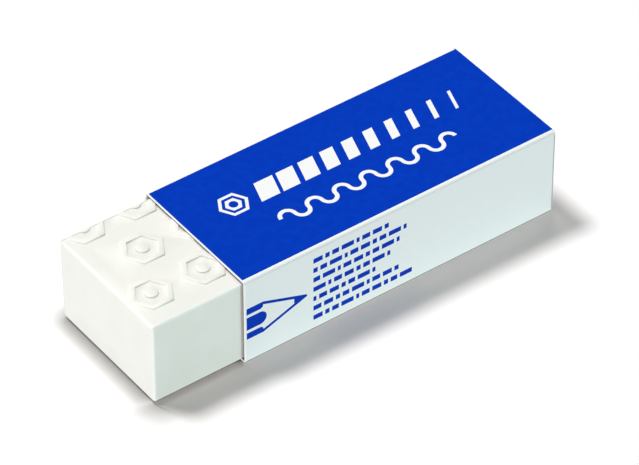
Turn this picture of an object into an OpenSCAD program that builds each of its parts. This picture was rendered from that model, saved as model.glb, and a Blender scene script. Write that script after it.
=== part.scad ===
// Block eraser in a folded card sleeve, in millimetres.
// The block lies along X, its bare end towards -X, and the sleeve's underside lies at z = 0.

/* [Block] */
// Length of the block
block_l = 65; // [45:1:110]
// Width of the block
block_w = 21; // [16:0.5:35]
// Height of the block without its raised pattern
block_h = 13; // [9:0.1:20]
// Radius of the block's edges
block_edge_r = 0.3; // [0.2:0.05:1.2]

/* [Raised pattern] */
// Height of the pattern above the block's upper face
relief_h = 0.2; // [0.1:0.05:0.35]
// Width of one mark across its flats
mark_w = 5.6; // [4:0.1:6.8]
// Width of a mark's outline
mark_line = 0.8; // [0.4:0.1:1]
// Diameter of a mark's core
mark_core_d = 1.9; // [1:0.1:2.4]
// Distance between two marks in a row along the block
mark_step_x = 8.1; // [8:0.1:12]
// Distance between two rows
mark_step_y = 7.8; // [7:0.1:12]
// Distance from the bare end to the first mark's centre
mark_start = 3.7; // [3.6:0.1:8]
// Distance from the block's near side to the middle of the first row
mark_row_start = 5.5; // [3.4:0.1:8]
// Plain border between the pattern and the block's rounded edges
pattern_border = 0.1; // [0.05:0.05:2]

/* [Sleeve] */
// Length of block that stands out of the sleeve
block_out = 14; // [4:0.5:16]
// Thickness of the card
card_t = 0.3; // [0.2:0.05:0.45]
// Inner radius of the folds
fold_r = 0.12; // [0.08:0.02:0.24]
// Clearance between the pattern and the card
face_gap = 0.08; // [0.05:0.01:0.3]
// Clearance between the block's narrow sides and the card
side_gap = 0.26; // [0.05:0.01:0.3]
// Height of the glued flap inside the far narrow side
flap_h = 9; // [5:0.5:9]
// Distance from the top face down to the lap's free edge
lap_drop = 0.9; // [0.7:0.1:3]

/* [Top print] */
// Depth of the ink in the card's face
ink_t = 0.04; // [0.02:0.01:0.1]
// Unprinted line along the near fold of the broad faces
fold_line = 0.6; // [0.6:0.05:1.5]
// Distance from the sleeve's mouth to the badge
badge_start = 5.9; // [2:0.1:8]
// Width of the badge across its flats
badge_w = 4; // [2:0.1:5]
// Width of the blue ring in the badge
badge_line = 0.45; // [0.2:0.05:0.5]
// Diameter of the badge's blue core
badge_core_d = 1.3; // [0.8:0.1:1.8]
// Distance from the near side to the middle of the badge and the bars
bars_y = 13.4; // [12:0.1:13.6]
// Distance from the sleeve's mouth to the bars and the waved line
bars_start = 11.2; // [10:0.1:14]
// Height of the bars
bar_h = 3.6; // [2:0.1:4.4]
// Distance between two bars
bar_step = 3.56; // [3.3:0.02:5]
// Width of the first and widest bar
bar_first = 3; // [1.5:0.1:3.1]
// Width of the last and narrowest bar
bar_last = 0.5; // [0.3:0.1:1.2]
// How far the top of a bar leans over its foot
bar_lean = 1.2; // [0:0.1:2]
// Plain blue left at the sleeve's far end after the bars
bars_end = 4.2; // [2:0.1:10]
// Distance from the near side to the middle of the waved line
wave_y = 7.3; // [5:0.1:9]
// Width of the waved line
wave_line = 0.6; // [0.3:0.1:0.8]
// Radius of one bend of the waved line
wave_r = 1.1; // [0.8:0.05:1.3]
// Plain blue left at the sleeve's far end after the waved line
wave_end = 10.6; // [4:0.1:14]

/* [Side print] */
// Distance from the sleeve's mouth to the pencil
pencil_start = 0.3; // [0.2:0.05:1.2]
// Length of the pencil
pencil_l = 9.7; // [7:0.1:9.7]
// Height of the pencil
pencil_h = 5.3; // [3:0.1:5.8]
// Length of the pencil's painted stretch
pencil_paint = 3.2; // [2.4:0.1:4]
// Length of the pencil's lead
pencil_lead = 2.1; // [1:0.1:3]
// Radius of the lead's worn tip
pencil_tip_r = 0.25; // [0.1:0.05:0.4]
// Width of the lines and gaps that draw the pencil
pencil_line = 0.5; // [0.2:0.05:0.6]
// How far the pencil lies below the middle of the side
pencil_drop = 0.35; // [0:0.05:0.5]
// Distance from the sleeve's mouth to the rows of dashes
rows_start = 11; // [11:0.1:13]
// Lengths of the rows of dashes, from the top down
row_l = [12.6, 15.9, 15.2, 12.8, 11.3, 14.6, 16.4];
// Distance between two rows of dashes
row_step = 1.64; // [1.2:0.02:2]
// Height of a dash
dash_h = 0.8; // [0.3:0.02:0.9]
// Gap between two dashes
dash_gap = 0.42; // [0.2:0.02:0.8]
// Plain card left above and below the rows of dashes
rows_margin = 0.8; // [0.6:0.1:2]

/* [Hidden] */
$fn = 48;

// Depth by which a cut or a cutter runs past the face that it starts from
over = 0.2;
pattern_edge = block_edge_r + pattern_border;
mark_cols = ceil((block_l - mark_start) / mark_step_x) + 1;
mark_rows = ceil((block_w - mark_row_start) / mark_step_y) + 1;

fold_out_r = fold_r + card_t;
tunnel_w = block_w + 2 * side_gap;
tunnel_h = block_h + relief_h + 2 * face_gap;
sleeve_l = block_l - block_out;
sleeve_h = tunnel_h + 2 * card_t;
mouth_x = block_l / 2 - sleeve_l;
// Faces of the sleeve across Y, where the lap makes the far side two cards thick
near_y = -tunnel_w / 2 - 1.5 * card_t;
far_y = near_y + tunnel_w + 2 * card_t;
lap_y = far_y + card_t;
tunnel_y = (near_y + far_y) / 2;

bar_count = floor((sleeve_l - bars_end - bars_start - bar_lean - bar_last) / bar_step) + 1;
wave_bends = floor((sleeve_l - wave_end - bars_start) / (2 * wave_r));
rows_room = sleeve_h - 2 * rows_margin - dash_h;
row_count = min(len(row_l), floor(rows_room / row_step) + 1);
// Lengths of the dashes, taken in turn
dash_l = [1.5, 0.7, 1.1, 2, 0.5, 1.3];

// A rectangle with round corners, about the origin
module rounded_rect(size, r) {
  square([size.x, size.y - 2 * r], center = true);
  square([size.x - 2 * r, size.y], center = true);
  for (x = [-1, 1], y = [-1, 1])
    translate([x * (size.x / 2 - r), y * (size.y / 2 - r)]) circle(r);
}

// Extrudes an outline drawn in Y and Z along X
module along_x(length) {
  rotate([90, 0, 90]) linear_extrude(length, center = true) children();
}

// Extrudes an outline drawn in X and Z along Y
module along_y(length) {
  rotate([90, 0, 0]) linear_extrude(length, center = true) children();
}

// A bar that is rounded along all twelve edges
module rounded_bar(size, r) {
  intersection() {
    along_x(size.x + over) rounded_rect([size.y, size.z], r);
    along_y(size.y + over) rounded_rect([size.x, size.z], r);
    linear_extrude(size.z + over, center = true) rounded_rect([size.x, size.y], r);
  }
}

module hexagon(width) {
  circle(width / sqrt(3), $fn = 6);
}

// The cut end of a six-sided pencil
module mark() {
  difference() {
    hexagon(mark_w);
    hexagon(mark_w - 2 * mark_line);
  }
  circle(d = mark_core_d);
}

// Rows of marks, every other row half a step further along, cut off near the block's edges
module mark_field() {
  intersection() {
    square([block_l - 2 * pattern_edge, block_w - 2 * pattern_edge], center = true);
    translate([mark_start - block_l / 2, mark_row_start - block_w / 2])
      for (i = [0 : mark_cols - 1], j = [0 : mark_rows - 1])
        translate([(i + (j % 2) / 2) * mark_step_x, j * mark_step_y]) mark();
  }
}

module eraser_block() {
  color([0.96, 0.965, 0.95])
  translate([0, tunnel_y, card_t + face_gap + block_h / 2]) {
    rounded_bar([block_l, block_w, block_h], block_edge_r);
    linear_extrude(block_h / 2 + relief_h) mark_field();
  }
}

// A flat stretch of card between two corners of its section
module panel(from, to) {
  translate(from) square(to - from);
}

// A quarter ring of card, turned to its corner
module fold(centre, turn) {
  translate(centre) rotate(turn) intersection() {
    difference() {
      circle(fold_out_r);
      circle(fold_r);
    }
    square(fold_out_r);
  }
}

// The folded strip, seen from its open end: flap, top, near side, base and lap
module sleeve_section() {
  near_fold = near_y + fold_out_r;
  top_far_fold = far_y - fold_out_r;
  base_far_fold = lap_y - fold_out_r;
  high_fold = sleeve_h - fold_out_r;
  panel([far_y - card_t, sleeve_h - flap_h], [far_y, high_fold]);
  fold([top_far_fold, high_fold], 0);
  panel([near_fold, sleeve_h - card_t], [top_far_fold, sleeve_h]);
  fold([near_fold, high_fold], 90);
  panel([near_y, fold_out_r], [near_y + card_t, high_fold]);
  fold([near_fold, fold_out_r], 180);
  panel([near_fold, 0], [base_far_fold, card_t]);
  fold([base_far_fold, fold_out_r], 270);
  panel([far_y, fold_out_r], [lap_y, sleeve_h - lap_drop]);
}

module card_sleeve() {
  color([0.93, 0.95, 0.95])
  difference() {
    translate([mouth_x + sleeve_l / 2, 0, 0]) along_x(sleeve_l) sleeve_section();
    top_ink(over);
    side_ink(over);
    base_ink(over);
  }
}

// The cut end of a pencil, left white in the blue
module badge() {
  difference() {
    hexagon(badge_w);
    difference() {
      hexagon(badge_w - 2 * badge_line);
      hexagon(badge_w - 4 * badge_line);
    }
    circle(d = badge_core_d);
  }
}

// A row of leaning bars, each narrower than the one before
module fading_bars() {
  for (i = [0 : bar_count - 1]) {
    foot = i * bar_step;
    width = bar_first + (bar_last - bar_first) * i / (bar_count - 1);
    polygon([
      [foot, -bar_h / 2],
      [foot + width, -bar_h / 2],
      [foot + width + bar_lean, bar_h / 2],
      [foot + bar_lean, bar_h / 2]
    ]);
  }
}

// A line of half rings that bend up and down in turn
module waved_line() {
  for (i = [0 : wave_bends - 1])
    translate([wave_r * (2 * i + 1), 0]) rotate(180 * (i % 2)) intersection() {
      difference() {
        circle(wave_r + wave_line / 2);
        circle(wave_r - wave_line / 2);
      }
      translate([-2 * wave_r, 0]) square([4 * wave_r, 2 * wave_r]);
    }
}

// The blue field of the top, with its white designs left out
module top_pattern() {
  difference() {
    translate([0, fold_line]) square([sleeve_l, far_y - near_y - fold_line - fold_out_r]);
    translate([badge_start + badge_w / 2, bars_y]) badge();
    translate([bars_start, bars_y]) fading_bars();
    translate([bars_start, wave_y]) waved_line();
  }
}

module top_ink(past = 0) {
  translate([mouth_x, near_y, sleeve_h - ink_t]) linear_extrude(ink_t + past) top_pattern();
}

module top_print() {
  color([0, 0.23, 0.75]) top_ink();
}

// A pencil's point, pointing to the right: three painted facets with round ends, wood and lead
module pencil() {
  half = pencil_h / 2;
  facet = (half - pencil_line) / 2;
  neck = pencil_paint - facet;
  shoulder = neck + facet / 2;
  lead_x = pencil_l - pencil_lead;
  tip_x = pencil_l - pencil_tip_r;
  lead_half = pencil_tip_r + (half - pencil_tip_r) * (tip_x - lead_x) / (tip_x - shoulder);
  for (side = [-1, 1]) scale([1, side]) {
    translate([0, facet + pencil_line]) square([neck, facet]);
    translate([neck, 1.5 * facet + pencil_line]) circle(facet / 2);
    polygon([
      [neck, half],
      [neck, half - pencil_line],
      [shoulder, half - pencil_line],
      [lead_x, lead_half - pencil_line],
      [lead_x, lead_half],
      [shoulder, half]
    ]);
  }
  translate([0, -facet]) square([neck, 2 * facet]);
  translate([neck, 0]) circle(facet);
  polygon([
    [lead_x, -lead_half],
    [tip_x, -pencil_tip_r],
    [tip_x, pencil_tip_r],
    [lead_x, lead_half]
  ]);
  translate([tip_x, 0]) circle(pencil_tip_r);
}

// Dashes one after another, for as long as the next one fits
module dash_row(length, turn) {
  dash = dash_l[turn % len(dash_l)];
  if (dash <= length) {
    square([dash, dash_h]);
    translate([dash + dash_gap, 0]) dash_row(length - dash - dash_gap, turn + 1);
  }
}

module side_pattern() {
  rows_top = (sleeve_h + (row_count - 1) * row_step - dash_h) / 2;
  translate([pencil_start, sleeve_h / 2 - pencil_drop]) pencil();
  for (i = [0 : row_count - 1])
    translate([rows_start, rows_top - i * row_step]) dash_row(row_l[i], i);
}

module side_ink(past = 0) {
  translate([mouth_x, near_y + ink_t, 0])
    rotate([90, 0, 0]) linear_extrude(ink_t + past) side_pattern();
}

module side_print() {
  color([0, 0.2, 0.66]) side_ink();
}

module base_ink(past = 0) {
  translate([mouth_x, near_y + fold_line, -past])
    cube([sleeve_l, lap_y - near_y - 2 * fold_line, ink_t + past]);
}

module base_print() {
  color([0, 0.23, 0.75]) base_ink();
}

eraser_block();
card_sleeve();
top_print();
side_print();
base_print();
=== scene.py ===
import math

import bpy
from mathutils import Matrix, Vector
from mathutils.geometry import delaunay_2d_cdt


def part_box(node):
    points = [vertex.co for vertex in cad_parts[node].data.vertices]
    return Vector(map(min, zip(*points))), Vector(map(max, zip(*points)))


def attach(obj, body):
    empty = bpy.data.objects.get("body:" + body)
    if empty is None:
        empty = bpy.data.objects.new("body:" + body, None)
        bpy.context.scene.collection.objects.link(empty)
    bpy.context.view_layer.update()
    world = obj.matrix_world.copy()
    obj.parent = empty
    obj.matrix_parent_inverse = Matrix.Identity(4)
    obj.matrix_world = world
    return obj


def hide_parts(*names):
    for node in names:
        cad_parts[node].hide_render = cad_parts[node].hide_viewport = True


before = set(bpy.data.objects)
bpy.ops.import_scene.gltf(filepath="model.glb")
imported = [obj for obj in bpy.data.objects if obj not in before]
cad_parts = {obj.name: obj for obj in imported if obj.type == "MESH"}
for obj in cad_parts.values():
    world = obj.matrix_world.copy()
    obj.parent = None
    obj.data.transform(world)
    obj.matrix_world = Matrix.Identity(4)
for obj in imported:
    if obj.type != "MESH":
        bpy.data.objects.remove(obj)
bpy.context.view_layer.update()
print("frame loaded:", ", ".join(sorted(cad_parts)))

mm = 0.001
tiny = 1e-6                  # mm, or share of a line


# Shader nodes: a Wire is an output socket that sums can be written with, a Net makes the nodes

class Wire:
    def __init__(self, net, socket):
        self.net = net
        self.socket = socket

    def math(self, operation, *values):
        kind = "ShaderNodeVectorMath" if self.socket.type == "VECTOR" else "ShaderNodeMath"
        return self.net.node(kind, {"operation": operation}, dict(enumerate(values)))

    def __add__(self, other):
        return self.math("ADD", self, other)

    def __radd__(self, other):
        return self.math("ADD", other, self)

    def __sub__(self, other):
        return self.math("SUBTRACT", self, other)

    def __rsub__(self, other):
        return self.math("SUBTRACT", other, self)

    def __mul__(self, other):
        return self.math("MULTIPLY", self, other)

    def __rmul__(self, other):
        return self.math("MULTIPLY", other, self)

    def __pow__(self, other):
        return self.math("POWER", self, other)

    def __rpow__(self, other):
        return self.math("POWER", other, self)

    def __abs__(self):
        return self.math("ABSOLUTE", self)

    def orMore(self, other):
        return self.math("MAXIMUM", self, other)

    def orLess(self, other):
        return self.math("MINIMUM", self, other)


class Net:
    def __init__(self, owner):
        owner.use_nodes = True
        self.owner = owner
        self.tree = owner.node_tree
        self.tree.nodes.clear()

    # type of node, its settings, the value or wire of each socket by name or number, and the output wanted
    def node(self, kind, settings=None, sockets=None, out=0):
        made = self.tree.nodes.new(kind)
        for name, value in (settings or {}).items():
            setattr(made, name, value)
        for name, value in (sockets or {}).items():
            if isinstance(value, Wire):
                self.tree.links.new(value.socket, made.inputs[name])
            else:
                made.inputs[name].default_value = value
        return Wire(self, made.outputs[out]) if made.outputs else made

    # place on the piece in millimetres
    def place(self, stretch=(1, 1, 1)):
        coords = self.node("ShaderNodeTexCoord", out="Object")
        return coords * tuple(s / mm for s in stretch)

    def split(self, vector):
        return [self.node("ShaderNodeSeparateXYZ", {}, {0: vector}, out=axis) for axis in "XYZ"]

    def noise(self, place, scale, detail, roughness):
        return self.node("ShaderNodeTexNoise", {}, {
            "Vector": place, "Scale": scale, "Detail": detail, "Roughness": roughness})

    # 0 below low, 1 above high, smooth between
    def ramp(self, value, low, high):
        return self.node("ShaderNodeMapRange", {"interpolation_type": "SMOOTHSTEP"}, {
            "Value": value, "From Min": low, "From Max": high})

    # 1 below full, 0 above gone, smooth between
    def fade(self, value, full, gone):
        return 1 - self.ramp(value, full, gone)

    # a Mix node's two colours are its sockets 6 and 7, and its mixed colour is output 2
    def blend(self, factor, first, second):
        return self.node("ShaderNodeMix", {"data_type": "RGBA"}, {0: factor, 6: first, 7: second}, out=2)

    def bump(self, height):
        return self.node("ShaderNodeBump", {}, {"Height": height, "Strength": 1.0, "Distance": mm})

    def finish(self, sockets):
        shader = self.node("ShaderNodeBsdfPrincipled", {}, sockets)
        self.node("ShaderNodeOutputMaterial", {}, {"Surface": shader})
        return self.owner


# sRGB from 0 to 255 as Blender's linear colour
def colour(red, green, blue):
    def linear(level):
        level /= 255
        return level / 12.92 if level <= 0.04045 else ((level + 0.055) / 1.055) ** 2.4
    return (linear(red), linear(green), linear(blue), 1.0)


# corners of a CAD node's box in millimetres
def nodeBox(name):
    low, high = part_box(name)
    return low / mm, high / mm


def dress(piece, material):
    piece.data.materials.clear()
    piece.data.materials.append(material)


def addMesh(name, verts, faces, normals):
    mesh = bpy.data.meshes.new(name)
    mesh.from_pydata(verts, [], faces)
    mesh.validate()
    mesh.shade_smooth()
    mesh.normals_split_custom_set_from_vertices(normals)
    piece = bpy.data.objects.new(name, mesh)
    bpy.context.scene.collection.objects.link(piece)
    return piece


# Eraser block: one skin of flat faces and rounded edges, with soft raised marks on the upper face

# lengths in mm
blockLook = {
    "edgeRadius": 0.3,       # rounding of the edges
    "edgeSteps": 8,
    "cornerRadius": 0.1,     # what is left of a corner on the flat faces
    "cornerSteps": 6,
    "borderStep": 2.5,       # spacing of points along the flat faces' border
    "markWidth": 5.6,        # across the flats
    "markLine": 0.8,
    "markCore": 1.9,
    "markStep": (8.1, 7.8),
    "firstMark": (3.7, 5.5),  # from the bare end and from the near side
    "reliefHeight": 0.2,
    "reliefBorder": 0.1,
    "reliefSlope": 0.1,      # width of a mark's soft side
    "reliefSteps": 6,
    "slopeProbe": 0.01,      # how far apart heights are compared for a slope
    "coreSides": 40,
    "mergeReach": 1e-5,      # points closer than this become one
}


class BlockShape:
    def __init__(self, look, low, high):
        self.look = look
        self.centre = (low + high) / 2 / mm
        self.half = (high - low) / 2 / mm
        self.centre.z -= look["reliefHeight"] / 2
        self.half.z -= look["reliefHeight"] / 2
        stepX, stepY = look["markStep"]
        firstX, firstY = look["firstMark"]
        columns = math.ceil((2 * self.half.x - firstX) / stepX) + 1
        rows = math.ceil((2 * self.half.y - firstY) / stepY) + 1
        self.marks = [
            (firstX - self.half.x + (i + j % 2 / 2) * stepX, firstY - self.half.y + j * stepY)
            for i in range(columns) for j in range(rows)]

    # half the size of the area that the marks fill, across X and Y
    def field(self):
        inset = self.look["edgeRadius"] + self.look["reliefBorder"]
        return self.half.x - inset, self.half.y - inset

    # distance to the outline of a hexagon that wide, below 0 inside it
    def hexagon(self, x, y, width):
        x, y = abs(x), abs(y)
        return max(y, x * math.cos(math.pi / 6) + y * math.sin(math.pi / 6)) - width / 2

    # distance to the edge of the raised pattern, below 0 inside it
    def distance(self, x, y):
        look = self.look
        halfX, halfY = self.field()
        nearest = math.inf
        for markX, markY in self.marks:
            dx, dy = x - markX, y - markY
            if abs(dx) + abs(dy) > 2 * look["markWidth"]:
                continue
            outer = self.hexagon(dx, dy, look["markWidth"])
            inner = self.hexagon(dx, dy, look["markWidth"] - 2 * look["markLine"])
            core = math.hypot(dx, dy) - look["markCore"] / 2
            nearest = min(nearest, max(outer, -inner), core)
        return max(nearest, abs(x) - halfX, abs(y) - halfY)

    # how far the pattern rises at a place, with an S-shaped side
    def height(self, x, y):
        rise = min(max(0.5 - self.distance(x, y) / self.look["reliefSlope"], 0), 1)
        return self.look["reliefHeight"] * rise * rise * (3 - 2 * rise)

    def normal(self, x, y):
        probe = self.look["slopeProbe"]
        slopeX = (self.height(x + probe, y) - self.height(x - probe, y)) / (2 * probe)
        slopeY = (self.height(x, y + probe) - self.height(x, y - probe)) / (2 * probe)
        return Vector((-slopeX, -slopeY, 1)).normalized()

    # border of a flat face with the outward direction at each point, anticlockwise
    def border(self):
        look = self.look
        inset = look["edgeRadius"] + look["cornerRadius"]
        halfX, halfY = self.half.x - inset, self.half.y - inset
        corners = [(halfX, -halfY), (halfX, halfY), (-halfX, halfY), (-halfX, -halfY)]
        points = []
        for side, (x, y) in enumerate(corners):
            start = (side - 1) * math.pi / 2
            for step in range(look["cornerSteps"] + 1):
                angle = start + step / look["cornerSteps"] * math.pi / 2
                out = Vector((math.cos(angle), math.sin(angle)))
                points.append((Vector((x, y)) + out * look["cornerRadius"], out))
            nextX, nextY = corners[(side + 1) % 4]
            out = Vector((math.cos(start + math.pi / 2), math.sin(start + math.pi / 2)))
            run = Vector((nextX - x, nextY - y))
            count = round(run.length / look["borderStep"])
            for step in range(1, count):
                points.append((Vector((x, y)) + run * step / count + out * look["cornerRadius"], out))
        return points

    # lines at one distance from the pattern's edge, cut off where the pattern ends
    def contour(self, offset):
        look = self.look
        halfX, halfY = self.field()
        halfX, halfY = halfX + offset, halfY + offset
        lines = []
        for markX, markY in self.marks:
            outlines = [
                (6, (look["markWidth"] / 2 + offset) / math.cos(math.pi / 6)),
                (6, (look["markWidth"] / 2 - look["markLine"] - offset) / math.cos(math.pi / 6)),
                (look["coreSides"], look["markCore"] / 2 + offset)]
            for sides, radius in outlines:
                ring = [
                    Vector((markX + radius * math.cos(turn), markY + radius * math.sin(turn)))
                    for turn in (2 * math.pi * k / sides for k in range(sides))]
                lines += [(ring[k - 1], ring[k]) for k in range(sides)]
        cut = [clipLine(start, end, halfX, halfY) for start, end in lines]
        rim = [Vector((x * halfX, y * halfY)) for x, y in ((-1, -1), (1, -1), (1, 1), (-1, 1))]
        return [line for line in cut if line] + [(rim[k - 1], rim[k]) for k in range(4)]


# the part of a line inside a rectangle about the origin, or None
def clipLine(start, end, halfX, halfY):
    enter, leave = 0.0, 1.0
    run = end - start
    for axis, half in ((0, halfX), (1, halfY)):
        for sign in (-1, 1):
            gain = sign * run[axis]
            room = half - sign * start[axis]
            if abs(gain) < tiny:
                if room < 0:
                    return None
            elif gain > 0:
                leave = min(leave, room / gain)
            else:
                enter = max(enter, room / gain)
    if leave - enter < tiny:
        return None
    return start + run * enter, start + run * leave


def makeBlock(look):
    shape = BlockShape(look, *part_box("eraser_block"))
    border = shape.border()
    points = [point for point, out in border]
    edges = []
    for step in range(look["reliefSteps"] + 1):
        offset = look["reliefSlope"] * (0.5 - step / look["reliefSteps"])
        for start, end in shape.contour(offset):
            edges.append((len(points), len(points) + 1))
            points += [start, end]
    outline = [list(range(len(border)))]
    insideOnly = 1           # the kind of result that keeps just the triangles inside the outline
    flat = delaunay_2d_cdt(points, edges, outline, insideOnly, look["mergeReach"])
    spots, triangles, origins = flat[0], flat[2], flat[3]
    kept = {old: new for new, olds in enumerate(origins) for old in olds}

    verts = [Vector((x, y, shape.half.z + shape.height(x, y))) for x, y in spots]
    normals = [shape.normal(x, y) for x, y in spots]
    faces = [tuple(triangle) for triangle in triangles]

    # rings from the upper face's border round the edge, down the walls and round to the underside
    angles = [k / look["edgeSteps"] * math.pi / 2 for k in range(look["edgeSteps"] + 1)]
    rings = [[kept[k] for k in range(len(border))]]
    for side, angle in [(1, a) for a in angles[1:]] + [(-1, a) for a in reversed(angles)]:
        reach = look["edgeRadius"] * math.sin(angle)
        level = side * (shape.half.z - look["edgeRadius"] * (1 - math.cos(angle)))
        rings.append(range(len(verts), len(verts) + len(border)))
        for point, out in border:
            verts.append((point + out * reach).to_3d() + Vector((0, 0, level)))
            normals.append((out * math.sin(angle)).to_3d() + Vector((0, 0, side * math.cos(angle))))
    for upper, lower in zip(rings, rings[1:]):
        for k in range(len(border)):
            faces.append((upper[k - 1], lower[k - 1], lower[k], upper[k]))
    faces.append(tuple(reversed(rings[-1])))

    piece = addMesh("eraserBlock", [(v + shape.centre) * mm for v in verts], faces, normals)
    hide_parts("eraser_block")
    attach(piece, "block")
    return piece


# White vinyl: matte, a little soft to the light, with a fine moulded grain, and glossier edges that a
# painted highlight makes paler.
# Painted shade darkens its far edges, and a band of painted shade lies where the sleeve's mouth meets its
# narrow sides.
vinylLook = {
    "bright": colour(238, 239, 233),
    "dull": colour(235, 237, 230),
    # noises: how many per mm, detail, roughness
    "cloud": (0.25, 3.0, 0.5),
    "grain": (14.0, 2.0, 0.6),
    "ripple": (0.9, 1.0, 0.5),
    # patches: a noise that makes the edge gloss, the painted highlight and the painted shade band at the
    # mouth uneven
    "patches": (1.6, 3.0, 0.5),
    "cloudSpread": (0.35, 0.65),  # noise levels between which it goes from none to full
    "patchSpread": (0.25, 0.5),
    "grainDepth": 0.004,     # mm
    "rippleDepth": 0.012,
    "roughness": (0.42, 0.52),
    "softness": 0.25,        # share of light that goes under the surface
    "softTint": (1.0, 1.0, 0.9),
    "softDepth": 0.5,        # mm
    # painted highlight: the paler colour of the edges
    "edge": colour(254, 255, 252),
    "edgeRoughness": 0.3,
    "edgeGloss": 0.8,
    # how much of the edge gloss, painted highlight and painted mouth shade is left where the patch noise
    # is lowest
    "leastPatchy": 0.6,
    # painted shade: a grey line along the far edges
    "paintedFarShade": colour(204, 207, 201),
    # painted shade: a grey band where the sleeve's mouth meets the narrow sides
    "mouthShade": colour(206, 206, 200),
    # in mm, as far as each is full and where it ends
    "edgeReach": (0.14, 0.42),
    # where the painted shade line along the far edges lies
    "farShadeReach": (0.315, 0.45),  # from the far side
    "farShadeTurn": (0.15, 0.3),     # from the upper face and the bare end
    # where the painted shade band at the mouth lies
    "mouthShadeOut": (0.15, 0.3),     # from the mouth towards the bare end
    "mouthShadeIn": (0.0, 3.5),       # from the mouth under the sleeve
    "mouthShadeDepth": (0.0, 0.1),    # from the narrow sides
    # the edges' gloss and painted highlight stop short of the far side
    "highlightFromFar": (1.0, 2.0),          # from the far side
}


def vinylMaterial(look):
    net = Net(bpy.data.materials.new("whiteVinyl"))
    low, high = nodeBox("eraser_block")
    high.z -= blockLook["reliefHeight"]
    mouth = nodeBox("card_sleeve")[0].x
    place = net.place()
    along, across, up = net.split(place)
    cloud, grain, ripple, patches = (
        net.noise(place, *look[name]) for name in ("cloud", "grain", "ripple", "patches"))

    # an edge is where the second nearest of the block's faces is close
    depth = tuple((high - low) / 2) - abs(place - tuple((low + high) / 2))
    fromEnd, fromSide, fromTop = net.split(depth)
    second = fromEnd.orLess(fromSide).orMore(fromEnd.orMore(fromSide).orLess(fromTop))
    # uneven strength of the edge gloss, the painted highlight and the painted shade band at the mouth
    patchy = look["leastPatchy"] + (1 - look["leastPatchy"]) * net.ramp(patches, *look["patchSpread"])
    edge = net.fade(second, *look["edgeReach"]) * patchy * net.ramp(high.y - across, *look["highlightFromFar"])

    # painted shade: a grey line along the far side, at the upper face and at the bare end
    turn = net.fade(high.z - up, *look["farShadeTurn"]).orMore(net.fade(along - low.x, *look["farShadeTurn"]))
    paintedFarShade = net.fade(high.y - across, *look["farShadeReach"]) * turn
    # painted shade: a grey band about the mouth on the narrow sides, reaching in under the sleeve
    paintedMouthBand = net.fade(mouth - along, *look["mouthShadeOut"]) * net.fade(along - mouth, *look["mouthShadeIn"])
    paintedMouthBand = paintedMouthBand * net.fade(fromSide, *look["mouthShadeDepth"]) * patchy

    face = net.blend(net.ramp(cloud, *look["cloudSpread"]), look["dull"], look["bright"])
    # painted highlight: the edges take a paler colour
    highlighted = net.blend(edge, face, look["edge"])
    rough, rougher = look["roughness"]
    faceRough = rough + grain * (rougher - rough)
    return net.finish({
        "Base Color": net.blend(paintedMouthBand, net.blend(paintedFarShade, highlighted, look["paintedFarShade"]), look["mouthShade"]),
        "Roughness": faceRough + edge * (look["edgeRoughness"] - faceRough),
        "Coat Weight": edge * look["edgeGloss"],
        "Normal": net.bump(grain * look["grainDepth"] + ripple * look["rippleDepth"]),
        "Subsurface Weight": look["softness"],
        "Subsurface Radius": look["softTint"],
        "Subsurface Scale": look["softDepth"] * mm,
    })


# Card sleeve: coated outside, bare chipboard inside, and a grey core between white linings at the cut
# ends.
# The chipboard's grey is darker than real, as painted shade. A white strip along the mouth is a painted
# highlight, and a darker line along the covered end is painted shade.
cardLook = {
    "coated": colour(244, 247, 247),
    "coatedDull": colour(241, 244, 244),
    # grey chipboard, made darker than real to paint the shade seen in the gap at the mouth; it shows
    # inside and in the core of the cut ends
    "boardAndPaintedShade": colour(120, 118, 112),
    "flap": colour(196, 195, 190),
    # white lining at the cut ends, also laid along the mouth as a painted highlight
    "liningAndPaintedHighlight": colour(254, 255, 255),
    # painted shade: a darker line along the covered end
    "paintedEndShade": colour(180, 187, 186),
    "fibre": (6.0, 4.0, 0.65),     # how many per mm, detail, roughness
    "fibreStretch": 0.35,
    "fibreSpread": (0.3, 0.7),
    "fibreDepth": 0.003,     # mm
    "foldDepth": 0.006,
    "roughness": (0.38, 0.75),
    "gloss": 0.3,
    "cutFacing": (0.8, 0.9),       # how squarely a cut end looks along the sleeve
    "thickness": 0.3,        # mm
    # in mm, as far as each is full and where it ends
    "liningDepth": (0.15, 0.21),   # from the card's faces, at a cut end
    "tunnelReach": (0.12, 0.16),   # from the block, outwards
    "flapReach": (0.0, 0.12),      # from the block's far side, inwards
    "foldReach": (0.3, 0.7),       # from the near upper fold
    "mouthReach": (0.16, 0.24),    # painted highlight, a white strip along the mouth
    "farReach": (0.16, 0.24),      # painted shade, a darker line along the covered end
}


# the fibre runs along the sleeve, and shows in the ink too
def cardFibre(net):
    return net.noise(net.place((cardLook["fibreStretch"], 1, 1)), *cardLook["fibre"])


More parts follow.
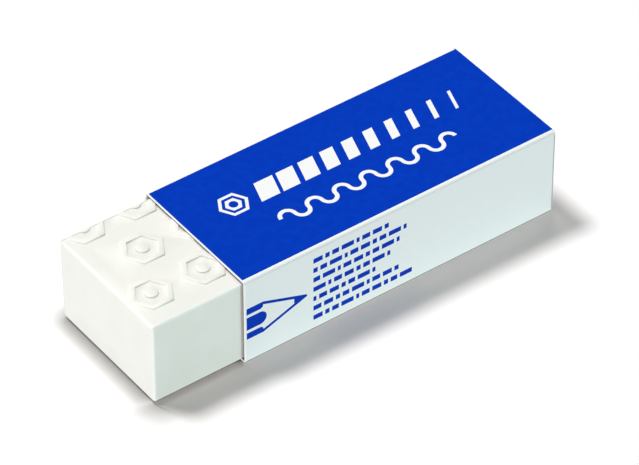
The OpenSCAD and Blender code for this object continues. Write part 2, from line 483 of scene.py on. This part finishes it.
def cardMaterial(look):
    net = Net(bpy.data.materials.new("whiteCard"))
    low, high = nodeBox("card_sleeve")
    blockLow, blockHigh = nodeBox("eraser_block")
    x, y, z = net.split(net.place())
    fibre = cardFibre(net)
    facing = net.node("ShaderNodeNewGeometry", out="True Normal")
    cut = net.ramp(net.split(abs(facing))[0], *look["cutFacing"])
    pastBlock = (blockLow.y - y).orMore(y - blockHigh.y).orMore(blockLow.z - z).orMore(z - blockHigh.z)
    inside = net.fade(pastBlock, *look["tunnelReach"])
    flap = net.fade(blockHigh.y - y, *look["flapReach"])
    fold = net.fade(y - low.y, *look["foldReach"]) * net.fade(high.z - z, *look["foldReach"])

    # how deep in the card a place at a cut end lies: the far side is two cards thick
    lapDepth = high.y - y
    flapDepth = abs(lapDepth - look["thickness"])
    depth = (y - low.y).orLess(z - low.z).orLess(high.z - z).orLess(lapDepth).orLess(flapDepth)
    cutEdge = net.blend(net.ramp(depth, *look["liningDepth"]), look["liningAndPaintedHighlight"], look["boardAndPaintedShade"])

    coated = net.blend(net.ramp(fibre, *look["fibreSpread"]), look["coatedDull"], look["coated"])
    # painted highlight: a white strip along the mouth
    paintedMouthBand = net.blend(net.fade(x - low.x, *look["mouthReach"]), coated, look["liningAndPaintedHighlight"])
    # painted shade: a darker line along the covered end, kept off the fold
    outside = net.blend(net.fade(high.x - x, *look["farReach"]) * (1 - fold), paintedMouthBand, look["paintedEndShade"])
    uncut = net.blend(inside, outside, net.blend(flap, look["boardAndPaintedShade"], look["flap"]))
    smooth, coarse = look["roughness"]
    return net.finish({
        "Base Color": net.blend(cut, uncut, cutEdge),
        "Roughness": smooth + (coarse - smooth) * inside.orMore(cut),
        "Normal": net.bump(fibre * look["fibreDepth"] + fibre * fold * look["foldDepth"]),
        "Specular IOR Level": look["gloss"],
    })


# Blue ink: an even printed field with the card's fibre just showing in its sheen, and a painted highlight,
# a near white strip, along the mouth
inkLook = {
    "deep": colour(0, 55, 182),
    "light": colour(0, 59, 189),
    # painted highlight: a near white strip along the mouth
    "paintedMouthBand": colour(250, 252, 252),
    "mouthBandReach": (0.12, 0.18),   # mm from the mouth, as far as it is full and where it ends
    "mottle": (0.8, 4.0, 0.6),     # how many per mm, detail, roughness
    "mottleSpread": (0.35, 0.65),
    "fibreDepth": 0.002,     # mm
    "roughness": (0.42, 0.5),
    "gloss": 0.02,
}


def inkMaterial(look):
    net = Net(bpy.data.materials.new("blueInk"))
    place = net.place()
    fibre = cardFibre(net)
    mottle = net.ramp(net.noise(place, *look["mottle"]), *look["mottleSpread"])
    # painted highlight along the mouth, by the distance from it
    fromMouth = net.split(place)[0] - nodeBox("top_print")[0].x
    smooth, coarse = look["roughness"]
    return net.finish({
        "Base Color": net.blend(
            net.fade(fromMouth, *look["mouthBandReach"]),
            net.blend(mottle, look["deep"], look["light"]), look["paintedMouthBand"]),
        "Roughness": smooth + fibre * (coarse - smooth),
        "Normal": net.bump(fibre * look["fibreDepth"]),
        "Specular IOR Level": look["gloss"],
    })


block = makeBlock(blockLook)
dress(block, vinylMaterial(vinylLook))
print("block made:", len(block.data.polygons), "faces")

dress(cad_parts["card_sleeve"], cardMaterial(cardLook))
ink = inkMaterial(inkLook)
for printed in ("top_print", "side_print", "base_print"):
    dress(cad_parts[printed], ink)
print("sleeve and prints dressed")


# Floor, lights and camera

studio = {
    "floorSize": 3.0,        # m
    "floorDrop": 0.02,       # mm below the sleeve's underside
    "floor": colour(253, 254, 255),
    "floorRoughness": 0.9,
    "contact": colour(100, 100, 98),  # painted shade on the floor where the object all but touches it
    "bounce": colour(255, 243, 240),  # floor that takes out the tint of light from the near side
    # the way in which the floor looks for what shades it, how far in mm, gain, curve
    "leftShade": ((0.84, -0.5, 0.3), 2.9, 1.9, 1.35),
    "frontShade": ((0.0, 0.9, 0.3), 1.2, 1.6, 1.3),
    "cornerShade": ((0.45, 0.85, 0.3), 4.5, 2.1, 1.2),
    "bounceShade": ((0.0, 0.9, 0.3), 9.0, 1.3, 1.0),
    "gapReach": 1.6,         # mm, for the floor under an overhang
    "gapOpenness": (0.2, 0.45),    # how open it is upwards, for full shade and for none
    "shadeSamples": 16,
    "frontFade": (-0.5, 0.0),      # mm past the sleeve's mouth
    "cornerFade": (-0.5, 2.5),     # mm behind the block's near side
    # the side of the key light's shadow, from the block's near corner
    "keyStart": (0.22, 0.3),       # mm along and in front of the corner
    "keySoftness": 0.6,            # width for each mm that it runs forward
    "fromAbove": (0.232, 0.228, 0.225, 1.0),  # even light from the room
    "fromBelow": (0.95, 0.95, 0.95, 1.0),     # and from a lit floor
    "horizon": 0.02,         # softness of the line between them
    # name: azimuth seen from the middle, elevation, spread in degrees, light on a facing surface, colour
    "suns": {
        "keyLight": (-155.0, 64.8, 14.0, 0.738, (1.0, 0.995, 0.985)),
        "rightLight": (148.0, 67.5, 13.0, 0.125, (1.0, 0.88, 0.88)),
        "leftLight": (-68.0, 4.0, 12.0, 0.342, (1.0, 1.0, 0.985)),
        "frontLight": (27.0, 9.0, 24.0, 0.092, (0.05, 1.0, 1.0)),
    },
    "glow": 0.3,             # light that the floor sends up the sleeve's near side
    "glowTint": (0.8, 1.0, 0.98),
    "glowReach": 8.0,        # mm
    "glowHeight": 0.05,
}


def contactShade(net, lean, reach, gain, curve):
    way = net.node("ShaderNodeVectorMath", {"operation": "NORMALIZE"}, {0: lean})
    openness = net.node("ShaderNodeAmbientOcclusion", {"samples": studio["shadeSamples"]}, {
        "Distance": reach * mm, "Normal": way}, out="AO")
    return gain * (1 - openness) ** curve


def floorMaterial():
    net = Net(bpy.data.materials.new("paleFloor"))
    shades = ("leftShade", "frontShade", "cornerShade", "bounceShade")
    left, front, corner, bounced = (contactShade(net, *studio[name]) for name in shades)
    overhead = net.node("ShaderNodeAmbientOcclusion", {"samples": studio["shadeSamples"]}, {
        "Distance": studio["gapReach"] * mm}, out="AO")
    along, across = net.split(net.place())[:2]
    bareEnd = nodeBox("eraser_block")[0]

    # the corner's shade lies beside the key light's shadow, whose soft side widens as it runs forward
    startAlong, startForward = studio["keyStart"]
    forward = (bareEnd.y - across).orMore(startForward)
    slant = math.tan(math.radians(studio["suns"]["keyLight"][0]))
    pastSide = along - (bareEnd.x + startAlong) - forward * slant
    halfSoft = forward * (studio["keySoftness"] / 2)
    corner = corner * net.fade(pastSide, halfSoft * -1, halfSoft)
    corner = corner * net.fade(across - bareEnd.y, *studio["cornerFade"])

    front = front * net.fade(along - nodeBox("card_sleeve")[0].x, *studio["frontFade"])
    under = net.fade(overhead, *studio["gapOpenness"])
    shade = left.orMore(under).orMore(front).orMore(corner)
    lit = net.blend(bounced.orLess(1), studio["floor"], studio["bounce"])
    return net.finish({
        "Base Color": net.blend(shade.orLess(1), lit, studio["contact"]),
        "Roughness": studio["floorRoughness"],
        "Specular IOR Level": 0.0,
    })


def addFloor():
    half = studio["floorSize"] / 2
    level = -studio["floorDrop"] * mm
    corners = [(-half, -half, level), (half, -half, level), (half, half, level), (-half, half, level)]
    mesh = bpy.data.meshes.new("floor")
    mesh.from_pydata(corners, [], [(0, 1, 2, 3)])
    floor = bpy.data.objects.new("floor", mesh)
    bpy.context.scene.collection.objects.link(floor)
    dress(floor, floorMaterial())
    # the world gives the even light of a lit floor, which this one would shade
    floor.visible_diffuse = False
    floor.visible_shadow = False


# direction from the middle of the object to a place seen at that azimuth and elevation
def direction(azimuth, elevation):
    a, e = math.radians(azimuth), math.radians(elevation)
    return Vector((math.sin(a) * math.cos(e), -math.cos(a) * math.cos(e), math.sin(e)))


def addSun(name, azimuth, elevation, spread, level, tint):
    sun = bpy.data.lights.new(name, "SUN")
    sun.energy = level * math.pi
    sun.angle = math.radians(spread)
    sun.color = tint
    lamp = bpy.data.objects.new(name, sun)
    lamp.rotation_mode = "QUATERNION"
    lamp.rotation_quaternion = direction(azimuth, elevation).to_track_quat("Z", "Y")
    bpy.context.scene.collection.objects.link(lamp)


# a strip of lit floor along the foot of the sleeve's near side
def addGlow():
    low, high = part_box("card_sleeve")
    strip = bpy.data.lights.new("floorGlow", "AREA")
    strip.shape = "RECTANGLE"
    strip.size = high.x - low.x
    strip.size_y = studio["glowReach"] * mm
    strip.energy = studio["glow"] * math.pi * strip.size * strip.size_y
    strip.color = studio["glowTint"]
    lamp = bpy.data.objects.new("floorGlow", strip)
    lamp.location = ((low.x + high.x) / 2, low.y - strip.size_y / 2, studio["glowHeight"] * mm)
    lamp.rotation_euler = (math.pi, 0, 0)
    lamp.visible_camera = False
    lamp.visible_glossy = False
    bpy.context.scene.collection.objects.link(lamp)


# white to the camera and to reflections, and an even light to everything else
def addWorld():
    world = bpy.data.worlds.new("studioWorld")
    bpy.context.scene.world = world
    net = Net(world)
    up = net.split(net.node("ShaderNodeTexCoord", out="Generated"))[2]
    below = net.fade(up, -studio["horizon"], studio["horizon"])
    even = net.node("ShaderNodeBackground", {}, {
        "Color": net.blend(below, studio["fromAbove"], studio["fromBelow"])})
    white = net.node("ShaderNodeBackground", {}, {"Color": (1, 1, 1, 1)})
    rays = ("Is Camera Ray", "Is Glossy Ray", "Is Transmission Ray")
    camera, glossy, through = (net.node("ShaderNodeLightPath", out=ray) for ray in rays)
    seen = camera.orMore(glossy).orMore(through)
    net.node("ShaderNodeOutputWorld", {}, {
        "Surface": net.node("ShaderNodeMixShader", {}, {0: seen, 1: even, 2: white})})


cameraLook = {
    "azimuth": -36.40,
    "elevation": 41.31,
    "distance": 594.1,                  # mm
    "aim": (-0.13, -2.55, 6.95),        # mm
    "lens": 253.5,
    "clip": (0.01, 10.0),               # m
}


def addCamera(look):
    camera = bpy.data.cameras.new("photoCamera")
    camera.lens = look["lens"]
    camera.clip_start, camera.clip_end = look["clip"]
    holder = bpy.data.objects.new("photoCamera", camera)
    back = direction(look["azimuth"], look["elevation"])
    holder.location = (Vector(look["aim"]) + back * look["distance"]) * mm
    holder.rotation_mode = "QUATERNION"
    holder.rotation_quaternion = back.to_track_quat("Z", "Y")
    bpy.context.scene.collection.objects.link(holder)
    bpy.context.scene.camera = holder


addFloor()
addWorld()
for name, settings in studio["suns"].items():
    addSun(name, *settings)
addGlow()
addCamera(cameraLook)
bpy.context.scene.view_settings.view_transform = "Standard"
print("studio ready")
